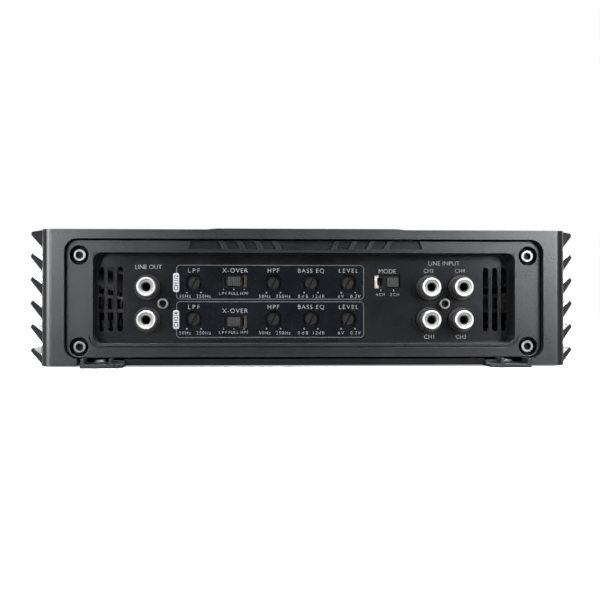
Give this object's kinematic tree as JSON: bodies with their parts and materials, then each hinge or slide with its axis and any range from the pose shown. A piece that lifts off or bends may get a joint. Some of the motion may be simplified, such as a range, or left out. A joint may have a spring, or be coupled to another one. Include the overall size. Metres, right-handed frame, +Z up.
{
  "type": "car amplifier",
  "caption": "Finned black car audio amplifier with a recessed panel of phono jacks, slotted trimmers and slide switches at one end and wire terminals at the other.",
  "frame": {"origin": "centre of the footprint, on the surface that the feet stand on", "axes": "+Z up, +Y along the extrusion from the control end to the terminal end, +X to the right seen from the control end"},
  "size_m": [0.2342, 0.322, 0.0586],
  "materials": {
    "black_cast": "fine-grain satin black",
    "black_anodised": "satin black anodised extrusion",
    "panel_black": "satin black with grey print",
    "badge": "satin dark",
    "screw_steel": "zinc plated",
    "black_plastic": "moulded satin",
    "nickel": "nickel plated",
    "insulator_grey": "moulded",
    "brass_contact": "stamped",
    "pot_body": "moulded",
    "shaft_grey": "moulded dark grey",
    "switch_steel": "tin plated stamping",
    "switch_base": "phenolic",
    "slider_grey": "ribbed",
    "board_green": "solder mask over glass fibre",
    "standoff_brass": "turned",
    "fuse_green": "translucent moulded",
    "led_lens": "diffused lens",
    "transistor": "epoxy",
    "pad": "silicone",
    "bar_steel": "zinc plated strip",
    "ferrite": "ferrite",
    "copper_wire": "enamelled copper wire",
    "cap_sleeve": "shrink sleeve"
  },
  "bodies": {
    "chassis": {"heatsink_housing": "black_anodised", "top_badge": "badge", "front_end_cap": "black_cast", "rear_end_cap": "black_cast", "front_control_panel": "panel_black", "rear_terminal_panel": "panel_black", "end_cap_screws": "screw_steel", "front_panel_screws": "screw_steel", "line_out_block": "black_plastic", "line_in_block": "black_plastic", "jack_shells": "nickel", "jack_insulators": "insulator_grey", "jack_center_contacts": "brass_contact", "potentiometer_bodies": "pot_body", "slide_switch_frames": "switch_steel", "slide_switch_bases": "switch_base", "control_board": "board_green", "main_circuit_board": "board_green", "board_standoffs": "standoff_brass", "board_screws": "screw_steel", "bottom_plate": "black_cast", "bottom_plate_screws": "screw_steel", "foot_front_left": "black_cast", "foot_front_right": "black_cast", "foot_rear_left": "black_cast", "foot_rear_right": "black_cast", "foot_rivets": "screw_steel", "speaker_terminal_block": "black_plastic", "speaker_terminal_contacts": "brass_contact", "speaker_terminal_screws": "screw_steel", "power_terminal_block": "black_plastic", "power_terminal_contacts": "brass_contact", "power_terminal_screws": "screw_steel", "fuse_holder": "black_plastic", "status_leds": "led_lens", "output_transistors": "transistor", "transistor_pads": "pad", "transistor_clamp_bars": "bar_steel", "clamp_bar_screws": "screw_steel", "transformer_core": "ferrite", "transformer_windings": "copper_wire", "output_inductor_cores": "ferrite", "output_inductor_windings": "copper_wire", "filter_capacitors": "cap_sleeve", "signal_chips": "transistor"},
    "lpf_shaft_upper": {"lpf_shaft_upper": "shaft_grey"},
    "hpf_shaft_upper": {"hpf_shaft_upper": "shaft_grey"},
    "bass_shaft_upper": {"bass_shaft_upper": "shaft_grey"},
    "level_shaft_upper": {"level_shaft_upper": "shaft_grey"},
    "lpf_shaft_lower": {"lpf_shaft_lower": "shaft_grey"},
    "hpf_shaft_lower": {"hpf_shaft_lower": "shaft_grey"},
    "bass_shaft_lower": {"bass_shaft_lower": "shaft_grey"},
    "level_shaft_lower": {"level_shaft_lower": "shaft_grey"},
    "crossover_slider_upper": {"crossover_slider_upper": "slider_grey"},
    "crossover_slider_lower": {"crossover_slider_lower": "slider_grey"},
    "mode_slider": {"mode_slider": "slider_grey"},
    "fuse_left": {"fuse_left": "fuse_green"},
    "fuse_right": {"fuse_right": "fuse_green"}
  },
  "joints": [
    {"name": "lpf_turn_upper", "type": "hinge", "parent": "chassis", "child": "lpf_shaft_upper", "pos_m": [-0.0477, -0.133, 0.0357], "axis": [0, 1, 0], "range_deg": [-167, 113]},
    {"name": "hpf_turn_upper", "type": "hinge", "parent": "chassis", "child": "hpf_shaft_upper", "pos_m": [-0.0134, -0.133, 0.0357], "axis": [0, 1, 0], "range_deg": [-167, 113]},
    {"name": "bass_turn_upper", "type": "hinge", "parent": "chassis", "child": "bass_shaft_upper", "pos_m": [0.0029, -0.133, 0.0357], "axis": [0, 1, 0], "range_deg": [-167, 113]},
    {"name": "level_turn_upper", "type": "hinge", "parent": "chassis", "child": "level_shaft_upper", "pos_m": [0.019, -0.133, 0.0357], "axis": [0, 1, 0], "range_deg": [-167, 113]},
    {"name": "lpf_turn_lower", "type": "hinge", "parent": "chassis", "child": "lpf_shaft_lower", "pos_m": [-0.0477, -0.133, 0.02], "axis": [0, 1, 0], "range_deg": [-167, 113]},
    {"name": "hpf_turn_lower", "type": "hinge", "parent": "chassis", "child": "hpf_shaft_lower", "pos_m": [-0.0134, -0.133, 0.02], "axis": [0, 1, 0], "range_deg": [-167, 113]},
    {"name": "bass_turn_lower", "type": "hinge", "parent": "chassis", "child": "bass_shaft_lower", "pos_m": [0.0029, -0.133, 0.02], "axis": [0, 1, 0], "range_deg": [-167, 113]},
    {"name": "level_turn_lower", "type": "hinge", "parent": "chassis", "child": "level_shaft_lower", "pos_m": [0.019, -0.133, 0.02], "axis": [0, 1, 0], "range_deg": [-167, 113]},
    {"name": "crossover_slide_upper", "type": "slide", "parent": "chassis", "child": "crossover_slider_upper", "axis": [1, 0, 0], "range_m": [-0.0026, 0.0026]},
    {"name": "crossover_slide_lower", "type": "slide", "parent": "chassis", "child": "crossover_slider_lower", "axis": [1, 0, 0], "range_m": [-0.0026, 0.0026]},
    {"name": "mode_slide", "type": "slide", "parent": "chassis", "child": "mode_slider", "axis": [-1, 0, 0], "range_m": [0, 0.0046]},
    {"name": "fuse_left_pull", "type": "slide", "parent": "chassis", "child": "fuse_left", "axis": [0, 1, 0], "range_m": [0, 0.012]},
    {"name": "fuse_right_pull", "type": "slide", "parent": "chassis", "child": "fuse_right", "axis": [0, 1, 0], "range_m": [0, 0.012]}
  ]
}
